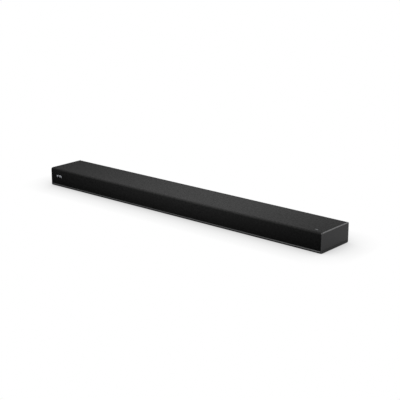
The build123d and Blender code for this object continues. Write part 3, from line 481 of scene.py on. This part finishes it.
window_low, window_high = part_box("display_module")
figure_shift = Vector((3.0, 0.0, 1.5)) * mm
figure_middle = (window_low + window_high) / 2 + figure_shift
steps_right = {"1": 1.0, "2": 1.0, "0": 1.0, ":": 0.5}
spots = np.cumsum([0.0] + [(steps_right[a] + steps_right[b]) / 2
                           for a, b in zip(time_of_day, time_of_day[1:])]) * figure_pitch
spots += figure_middle.x - spots.mean()
figure_rings = []
for sign, x in zip(time_of_day, spots):
    figure_rings += figure_forms(sign, x, figure_middle.z)
figures = skin("lit_figures", figure_rings)

# %% Light through the knit
figure_glow = 1.15


def glow_through_knit():
    """White light behind knitted cloth: a dark thread face whose holes let the light of a bar out."""
    material, tree = blank("light_through_cloth")
    place = add(tree, "TexCoord").outputs["Object"]
    rows = add(tree, "TexWave", {"Vector": place, "Scale": wave_scale(thread_spacing)}, bands_direction="X")
    courses = add(tree, "TexWave", {"Vector": place, "Scale": wave_scale(course_spacing)},
                  bands_direction="Z")
    holes = add(tree, "Math", {0: rows.outputs["Fac"], 1: courses.outputs["Fac"]}, operation="MULTIPLY")
    light = add(tree, "ValToRGB", {0: holes.outputs[0]}, stops=((0.0, "#f6f8ff"), (1.0, "#a9adb8")))
    shader = add(tree, "BsdfPrincipled", {
        "Base Color": linear("#2a2a2c"), "Roughness": 0.9, "Specular IOR Level": 0.05,
        "Emission Color": light.outputs["Color"], "Emission Strength": figure_glow})
    add(tree, "OutputMaterial", {"Surface": shader.outputs[0]})
    return material


dress(figures, glow_through_knit(), "housing")
print("figure glow:", figure_glow)

# %% [markdown]
# At the right end of the top a small plate lies on the cloth. It is left bare. A cube with a
# Bevel modifier would come close, but a rounded outline, drawn in where the bevel starts, gives
# the soft corners and the thin bright edge in one surface.

# %% The bare plate
plate_place = Vector((555.6 * mm, cloth_low.y + 21.3 * mm, 0.0))
plate_half = (5.0 * mm, 2.2 * mm)
plate_height = 0.4 * mm
plate_bevel = 0.15 * mm


def thin_plate():
    """Rings of a flat plate: |x / A| ** 8 + |y / B| ** 8 = 1, drawn in by the bevel at its face."""
    a = np.linspace(0, 2 * math.pi, 48, endpoint=False)
    levels = [(0.0, 0.0), (0.0, plate_height - plate_bevel), (plate_bevel, plate_height)]
    rings = [np.stack([(plate_half[0] - inset) * np.sign(np.cos(a)) * np.abs(np.cos(a)) ** 0.25,
                       (plate_half[1] - inset) * np.sign(np.sin(a)) * np.abs(np.sin(a)) ** 0.25,
                       np.full(len(a), cloth_high.z + rise)], -1) for inset, rise in levels]
    return np.stack(rings) + np.array(plate_place)


plate = skin("bare_plate", [thin_plate()])

# %% [markdown]
# The metal pieces are plated, blackened, turned or drawn, and each leaves its own fine marks. They
# could each have a graph of their own, but one recipe serves them all: a colour, a scatter in the
# roughness and a whisper of relief. Noise stretched along one axis reads as brushing, even noise
# as plating.

# %% Metals
gloss_scatter = 0.06


def metal(name, colour, worn, roughness, grain, stretch=(1.0, 1.0, 1.0)):
    """Metal with a plated or brushed face: noise of one grain size in colour, gloss and relief."""
    material, tree = blank(name)
    place = add(tree, "TexCoord").outputs["Object"]
    drawn = add(tree, "Mapping", {"Vector": place, "Scale": stretch})
    noise = add(tree, "TexNoise", {"Vector": drawn.outputs[0], "Scale": 1 / grain, "Detail": 3.0})
    tone = add(tree, "ValToRGB", {0: noise.outputs["Fac"]}, stops=((0.3, worn), (0.7, colour)))
    gloss = add(tree, "MapRange", {"Value": noise.outputs["Fac"], "To Min": roughness - gloss_scatter,
                                   "To Max": roughness + gloss_scatter})
    relief = add(tree, "Bump", {"Height": noise.outputs["Fac"], "Strength": 0.15, "Distance": 0.05 * mm})
    shader = add(tree, "BsdfPrincipled", {
        "Base Color": tone.outputs["Color"], "Metallic": 1.0, "Roughness": gloss.outputs[0],
        "Normal": relief.outputs["Normal"]})
    add(tree, "OutputMaterial", {"Surface": shader.outputs[0]})
    return material


# Aluminium, brushed along the bar and anodised dark: a soft streaky grey.
brushed_plate = metal("anodised_aluminium", "#5c5d60", "#4e4f52", 0.45, 0.8 * mm, (0.06, 1.0, 1.0))
# Steel with clear zinc: pale, cool and slightly blotchy.
zinc_steel = metal("zinc_plated_steel", "#b9bcbf", "#8f9499", 0.35, 1.5 * mm)
# Steel blackened in oil: nearly black, with a dull gleam on its edges.
black_steel = metal("blackened_steel", "#2b2c2e", "#1d1e20", 0.48, 1.2 * mm)
# Turned brass: warm yellow, with a fine scatter of tool marks.
turned_brass = metal("turned_brass", "#c9a456", "#a5813c", 0.32, 0.6 * mm)
# Extruded aluminium: pale, with drawn streaks along the fins.
extruded_aluminium = metal("extruded_aluminium", "#c2c4c6", "#a7aaad", 0.4, 0.9 * mm, (1.0, 0.08, 1.0))
# Nickel on pressed steel: bright, and a little warm.
nickel_shell = metal("nickel_plated_shell", "#d5d2cb", "#bbb7af", 0.22, 1.0 * mm)

dress(plate, brushed_plate, "housing")
metals = (brushed_plate, zinc_steel, black_steel, turned_brass, extruded_aluminium, nickel_shell)
print("metals:", [finish.name for finish in metals])

# %% [markdown]
# The shells of the plug sockets are bright only round the mouth. Behind it sit a black nylon core
# and its shadow. A solid here has one slot, so two materials won't do: one material turns from
# nickel to black at a small depth behind the mouth. That black is the nylon's own colour, and
# painted shade on the shell's inner walls.

# %% Socket mouths
mouth_depth = 0.5 * mm
mouth_blend = 0.1 * mm
shell_grain = 1.0 * mm


def nickel_mouth(name, mouth):
    """Nickel in front of a plane in Y and black behind it, with a fine grain in both. The black is the
    nylon core's own colour, and painted shade on the shell's inner walls.
    """
    material, tree = blank(name)
    place = add(tree, "TexCoord").outputs["Object"]
    depth = add(tree, "SeparateXYZ", {0: place}).outputs["Y"]
    rim = add(tree, "MapRange", {"Value": depth, "From Min": mouth - mouth_depth - mouth_blend,
                                 "From Max": mouth - mouth_depth}).outputs[0]
    noise = add(tree, "TexNoise", {"Vector": place, "Scale": 1 / shell_grain, "Detail": 3.0})
    shine = add(tree, "Math", {0: rim, 1: noise.outputs["Fac"]}, operation="MULTIPLY")
    # The dark stop is painted shade on the shell's inner walls, and the nylon core's own black.
    tone = add(tree, "ValToRGB", {0: shine.outputs[0]}, stops=((0.0, "#0d0d0e"), (0.6, "#d5d2cb")))
    gloss = add(tree, "MapRange", {"Value": noise.outputs["Fac"], "To Min": 0.24, "To Max": 0.4})
    relief = add(tree, "Bump", {"Height": noise.outputs["Fac"], "Strength": 0.15, "Distance": 0.03 * mm})
    shader = add(tree, "BsdfPrincipled", {
        "Base Color": tone.outputs["Color"], "Metallic": rim, "Roughness": gloss.outputs[0],
        "Normal": relief.outputs["Normal"]})
    add(tree, "OutputMaterial", {"Surface": shader.outputs[0]})
    return material


mouth_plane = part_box("optical_socket")[1].y
socket_mouth = nickel_mouth("nickel_nylon_painted_shade", mouth_plane)
print("socket mouths at y in mm:", round(mouth_plane / mm, 1))

# %% [markdown]
# The rigid plastics are moulded in tools whose walls were etched, so their faces carry a fine
# pebbled grain that spreads reflections. Modelled grain would take millions of faces, so it is
# noise of a given size in millimetres, used both as relief and as small changes of gloss. The
# caps have the finest grain, the back and the inner walls a coarse and dull one. On the caps and
# the base the bevels were polished in the tool, so a clear coat there draws their bright lines.

# %% Bevels by their slant
square_on = 0.97
well_slanted = 0.9


def slanted(tree):
    """Socket that is 1 on bevels and 0 on faces square to an axis, by the largest part of the normal."""
    normal = add(tree, "NewGeometry").outputs["True Normal"]
    unsigned = add(tree, "VectorMath", {0: normal}, operation="ABSOLUTE")
    parts = add(tree, "SeparateXYZ", {0: unsigned.outputs[0]})
    wider = add(tree, "Math", {0: parts.outputs[0], 1: parts.outputs[1]}, operation="MAXIMUM")
    widest = add(tree, "Math", {0: wider.outputs[0], 1: parts.outputs[2]}, operation="MAXIMUM")
    return add(tree, "MapRange", {"Value": widest.outputs[0], "From Min": square_on,
                                  "From Max": well_slanted}).outputs[0]


print("a bevel slants by degrees:", round(math.degrees(math.acos(well_slanted))))

# %% Moulded plastics
drift_size = 40.0 * mm
grain_scatter = 0.07
coat_roughness = 0.65


def moulded(name, colour, pale, roughness, grain, depth, gloss_level=0.5, polished_bevels=False):
    """Moulded plastic: etched grain of a size and depth, with a faint drift of colour.

    A coat on the bevels stands for edges that were polished in the tool.
    """
    material, tree = blank(name)
    place = add(tree, "TexCoord").outputs["Object"]
    etch = add(tree, "TexNoise", {"Vector": place, "Scale": 1 / grain, "Detail": 2.0})
    drift = add(tree, "TexNoise", {"Vector": place, "Scale": 1 / drift_size, "Detail": 2.0})
    tone = add(tree, "ValToRGB", {0: drift.outputs["Fac"]}, stops=((0.3, colour), (0.75, pale)))
    gloss = add(tree, "MapRange", {"Value": etch.outputs["Fac"], "To Min": roughness - grain_scatter,
                                   "To Max": roughness + grain_scatter})
    relief = add(tree, "Bump", {"Height": etch.outputs["Fac"], "Strength": 0.4, "Distance": depth})
    shader = add(tree, "BsdfPrincipled", {
        "Base Color": tone.outputs["Color"], "Roughness": gloss.outputs[0], "IOR": 1.5,
        "Specular IOR Level": gloss_level, "Coat Roughness": coat_roughness,
        "Normal": relief.outputs["Normal"]})
    if polished_bevels:
        tree.links.new(slanted(tree), shader.inputs["Coat Weight"])
    add(tree, "OutputMaterial", {"Surface": shader.outputs[0]})
    return material


# Satin ABS of the caps and keys: dark grey, with soft broad reflections.
satin_abs = moulded("satin_abs", "#1b1b1d", "#202022", 0.36, 0.5 * mm, 0.02 * mm, 0.2, True)
# Polycarbonate blend of the base: black, with bevels so smooth that its rim catches a thin line of light.
smooth_base = moulded("smooth_polycarbonate", "#141415", "#181819", 0.35, 0.6 * mm, 0.01 * mm, 0.15, True)
# Etched ABS of the back and the inner walls: black and dull, with a visible pebbling.
etched_abs = moulded("etched_abs", "#131314", "#18181a", 0.75, 1.2 * mm, 0.05 * mm, 0.2)
# Nylon of the sockets: smooth black with sharper lights.
socket_nylon = moulded("socket_nylon", "#121213", "#161618", 0.35, 0.8 * mm, 0.01 * mm)
# Natural rubber of the feet and rolls: charcoal, chalky and quite matt.
chalky_rubber = moulded("chalky_rubber", "#1a1a1a", "#242423", 0.85, 0.9 * mm, 0.04 * mm, 0.25)
# Smoked acrylic of the readout: grey, smooth and glossy.
smoked_acrylic = moulded("smoked_acrylic", "#3a3b3e", "#434447", 0.15, 3.0 * mm, 0.005 * mm)
# PVC sleeve of the leads: dull red with a waxy light.
red_pvc = moulded("red_pvc", "#7a1f1c", "#8c2723", 0.45, 2.0 * mm, 0.02 * mm)
# Shrink sleeve of the capacitor: blue black, tight and glossy.
shrink_sleeve = moulded("shrink_sleeve", "#191c33", "#20243f", 0.28, 4.0 * mm, 0.02 * mm)
# Sintered ferrite of the magnets and the core: dark grey, with a gritty fracture grain.
sintered_ferrite = moulded("sintered_ferrite", "#2b2b2d", "#38383a", 0.7, 0.7 * mm, 0.08 * mm, 0.3)
plastics = (satin_abs, smooth_base, etched_abs, socket_nylon, chalky_rubber, smoked_acrylic, red_pvc,
            shrink_sleeve, sintered_ferrite)
print("moulded finishes:", [finish.name for finish in plastics])

# %% [markdown]
# Inside are softer things: pressed paper cones, silk domes and foam gaskets. Hair strands could
# make real fibres, but at this size a pattern does. They share one recipe, noise drawn out into
# short threads over a finer felt, with hardly any gloss. The circuit boards get tracks from a
# brick pattern, whose joints run square to each other as tracks do.

# %% Fibres and foam
thread_stretch = (0.25, 1.0, 1.0)
thread_turn = (0.0, 0.6, 0.3)


def fibrous(name, colour, pale, fibre, depth, sheen):
    """Fibre or foam: two noises, one drawn out into threads, in colour and relief, with a sheen."""
    material, tree = blank(name)
    place = add(tree, "TexCoord").outputs["Object"]
    drawn = add(tree, "Mapping", {"Vector": place, "Scale": thread_stretch, "Rotation": thread_turn})
    threads = add(tree, "TexNoise", {"Vector": drawn.outputs[0], "Scale": 1 / fibre, "Detail": 4.0})
    felt = add(tree, "TexNoise", {"Vector": place, "Scale": 3 / fibre, "Detail": 2.0})
    height = add(tree, "Math", {0: threads.outputs["Fac"], 1: felt.outputs["Fac"]}, operation="MULTIPLY")
    tone = add(tree, "ValToRGB", {0: height.outputs[0]}, stops=((0.1, colour), (0.45, pale)))
    relief = add(tree, "Bump", {"Height": height.outputs[0], "Strength": 0.5, "Distance": depth})
    shader = add(tree, "BsdfPrincipled", {
        "Base Color": tone.outputs["Color"], "Roughness": 0.9, "Specular IOR Level": 0.2,
        "Sheen Weight": sheen, "Normal": relief.outputs["Normal"]})
    add(tree, "OutputMaterial", {"Surface": shader.outputs[0]})
    return material


# Pressed paper: dark grey, felted, with stray pale fibres.
pressed_paper = fibrous("pressed_paper", "#242424", "#3d3c3a", 2.0 * mm, 0.1 * mm, 0.1)
# Coated silk: black with a close thread and a soft sheen.
coated_silk = fibrous("coated_silk", "#17171a", "#26262b", 0.8 * mm, 0.05 * mm, 0.3)
# Closed-cell foam of the gaskets: black, finely pitted and light-eating.
gasket_foam = fibrous("closed_cell_foam", "#0f0f10", "#1e1e20", 1.2 * mm, 0.3 * mm, 0.05)
print("soft finishes:", [finish.name for finish in (pressed_paper, coated_silk, gasket_foam)])

# %% Circuit boards
track_spacing = 12.0 * mm


def solder_mask():
    """Green circuit board: copper tracks as fine bands under a glossy mask, on a woven core."""
    material, tree = blank("solder_mask")
    place = add(tree, "TexCoord").outputs["Object"]
    tracks = add(tree, "TexBrick", {"Vector": place, "Scale": 1 / track_spacing, "Mortar Size": 0.03,
                                    "Color1": linear("#12452c"), "Color2": linear("#16502f"),
                                    "Mortar": linear("#2a7a45")})
    relief = add(tree, "Bump", {"Height": tracks.outputs["Fac"], "Strength": 0.3, "Distance": 0.05 * mm})
    shader = add(tree, "BsdfPrincipled", {
        "Base Color": tracks.outputs["Color"], "Roughness": 0.35, "IOR": 1.5,
        "Normal": relief.outputs["Normal"]})
    add(tree, "OutputMaterial", {"Surface": shader.outputs[0]})
    return material


# Solder mask on glass-fibre board: green and glossy, with paler tracks under it.
green_board = solder_mask()
print("board tracks apart in mm:", round(track_spacing / mm, 1))

# %% [markdown]
# Each solid came in with the name of its material slot. Each could be dressed by its own line, but
# one table turns the slots into finishes, so no solid is missed. The solids are left as they are,
# and two whose finish differs from their slot's are dressed after that.

# %% Finishes for the solids
finishes = {
    "black_abs": etched_abs, "satin_grey_plastic": satin_abs, "black_rubber": chalky_rubber,
    "black_cloth": cloth.data.materials[0], "brass": turned_brass, "foam": gasket_foam,
    "black_steel": black_steel, "steel": zinc_steel, "circuit_board": green_board,
    "aluminium": extruded_aluminium, "socket_shell": socket_mouth, "ferrite": sintered_ferrite,
    "can_sleeve": shrink_sleeve, "socket_plastic": socket_nylon, "readout": smoked_acrylic,
    "lead_sleeve": red_pvc, "paper_cone": pressed_paper, "silk_dome": coated_silk,
}
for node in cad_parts.values():
    for place in node.material_slots:
        place.material = finishes[place.material.name]
for name, finish in (("bottom_cover", smooth_base), ("wireless_module", nickel_shell)):
    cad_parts[name].material_slots[0].material = finish
print("solids dressed:", len(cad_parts))

# %% [markdown]
# Each woofer's cone hangs from two soft rings: a rubber half roll at its rim and a pleated cotton
# spider round its voice coil. Their solids are stiff, so both are drawn again as hoops, one
# section carried round a racetrack or a circle. A simulation would have to run for every stroke.
# Instead each hoop's points are read out, but no share of the stroke is given to them.

# %% Sections of the soft rings
roll_radius = 2.5 * mm
lip_width = 1.8 * mm
skin_wall = 0.6 * mm
spider_rim = 18.3 * mm
spider_neck = 10.7 * mm
pleats = 5
pleat_wave = 0.9 * mm
points_in_pleat = 12


def half_roll(rim):
    """Closed section (r, h) of a half roll with flat lips inside a rim radius.

    The roll is two half ellipses, one wall apart, about the middle between the lips.
    """
    turn = np.linspace(0, math.pi, 17)
    middle = rim - lip_width - roll_radius
    inside = roll_radius - skin_wall
    front = np.stack([middle + roll_radius * np.cos(turn), skin_wall + inside * np.sin(turn)], 1)
    rear = np.stack([middle - inside * np.cos(turn), inside * np.sin(turn)], 1)
    neck = middle - roll_radius - lip_width
    outer_lip = [(rim, 0), (rim, skin_wall)]
    inner_lip = [(neck, skin_wall), (neck, 0)]
    return np.concatenate([outer_lip, front, inner_lip, rear, outer_lip[:1]])


def pleated_disc():
    """Closed section (r, h) of the spider, one wall thick.

    Its front is h = -wave cos(pi pleats s), for s from 0 at the neck to 1 at the rim.
    """
    s = np.linspace(0, 1, points_in_pleat * pleats + 1)
    radius = spider_neck + s * (spider_rim - spider_neck)
    front = np.stack([radius, -pleat_wave * np.cos(math.pi * pleats * s)], 1)
    rear = front[::-1] - np.array([0.0, skin_wall])
    return np.concatenate([front, rear, front[:1]])


def racetrack(section, straight, centre):
    """Hoop of a section round a racetrack, or round a circle where the straight is 0.

    A section point (r, h) at a turn a lies at x = r cos a, moved by half the straight to its own
    end, z = r sin a and y = -h, about the centre.
    """
    half = np.linspace(-math.pi / 2, math.pi / 2, 25)
    turn = np.concatenate([half, half + math.pi])
    end = np.repeat([straight / 2, -straight / 2], len(half))
    r, h = section[:, :1], section[:, 1:]
    x, y, z = np.broadcast_arrays(end + r * np.cos(turn), -h, r * np.sin(turn))
    return np.stack([x, y, z], -1) + np.array(centre)


print("points in a half roll:", len(half_roll(20.0 * mm)), "in a spider:", len(pleated_disc()))

# %% The soft rings of the four woofers
def share_stroke(piece):
    """Bakes a soft ring's place into its mesh and reads out its points. No share of the stroke is given to
    them.
    """
    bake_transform(piece)
    points = np.empty(3 * len(piece.data.vertices))
    piece.data.vertices.foreach_get("co", points)


# Cotton stiffened with resin: tan, with an open weave that shows as short threads.
treated_cotton = fibrous("treated_cotton", "#5a4a30", "#8a744c", 1.5 * mm, 0.1 * mm, 0.05)

for number in range(1, 5):
    node, cone = f"woofer_suspension_{number}", f"woofer_cone_{number}"
    low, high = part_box(node)
    rim = (high.z - low.z) / 2
    straight = high.x - low.x - 2 * rim
    seat = Vector(((low.x + high.x) / 2, low.y + roll_radius, (low.z + high.z) / 2))
    waist = Vector((seat.x, high.y - skin_wall - pleat_wave, seat.z))
    surround = skin(f"woofer_surround_{number}", [racetrack(half_roll(rim), straight, seat)])
    spider = skin(f"woofer_spider_{number}", [racetrack(pleated_disc(), 0.0, waist)])
    surround.data.materials.append(chalky_rubber)
    spider.data.materials.append(treated_cotton)
    share_stroke(surround)
    share_stroke(spider)
    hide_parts(node)

# %% [markdown]
# The keys at the back carry pad-printed marks that any such product could have: plus, minus, two
# linked rings, an arrow and a ring with a bar. A picture on each key would need a file, so they
# are thin pebbles and hoops laid on the key's face, and each set of marks moves with its own key.

# %% Marks on the keys
mark_half = 1.3 * mm
mark_line = 0.22 * mm
ink_rise = 0.05 * mm
# Each stroke has its kind, its place to the side and up, its reach and its lean, in halves of a mark.
marks = {
    "key_volume_up": [("bar", 0.0, 0.0, 1.0, 0.0), ("bar", 0.0, 0.0, 1.0, math.pi / 2)],
    "key_volume_down": [("bar", 0.0, 0.0, 1.0, 0.0)],
    "key_pairing": [("ring", -0.45, 0.0, 0.7, 0.0), ("ring", 0.45, 0.0, 0.7, 0.0)],
    "key_input": [("bar", 0.0, 0.0, 1.0, 0.0), ("bar", -0.7, 0.35, 0.5, -math.pi / 4),
                  ("bar", -0.7, -0.35, 0.5, math.pi / 4)],
    "key_power": [("ring", 0.0, -0.2, 0.8, 0.0), ("bar", 0.0, 0.55, 0.5, math.pi / 2)],
}


def mark_form(kind, centre, reach, lean):
    """One stroke of a mark: a long pebble, or a hoop whose section is a small ellipse."""
    if kind == "bar":
        return pebble(centre, reach, mark_line, ink_rise, lean)
    turn = np.linspace(0, 2 * math.pi, 13)
    section = np.stack([reach + mark_line * np.cos(turn), ink_rise * np.sin(turn)], 1)
    return racetrack(section, 0.0, centre)


# Pad-printing ink: pale grey, thin and matt, with a slightly uneven lay.
printed_ink = moulded("pad_printed_ink", "#8f9092", "#a2a3a5", 0.6, 0.4 * mm, 0.01 * mm)
for key, strokes in marks.items():
    low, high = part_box(key)
    middle = (low + high) / 2
    forms = []
    for kind, x, z, reach, lean in strokes:
        centre = (middle.x - mark_half * x, high.y, middle.z + mark_half * z)
        forms.append(mark_form(kind, centre, mark_half * reach, lean))
    dress(skin(key + "_mark", forms), printed_ink, key)
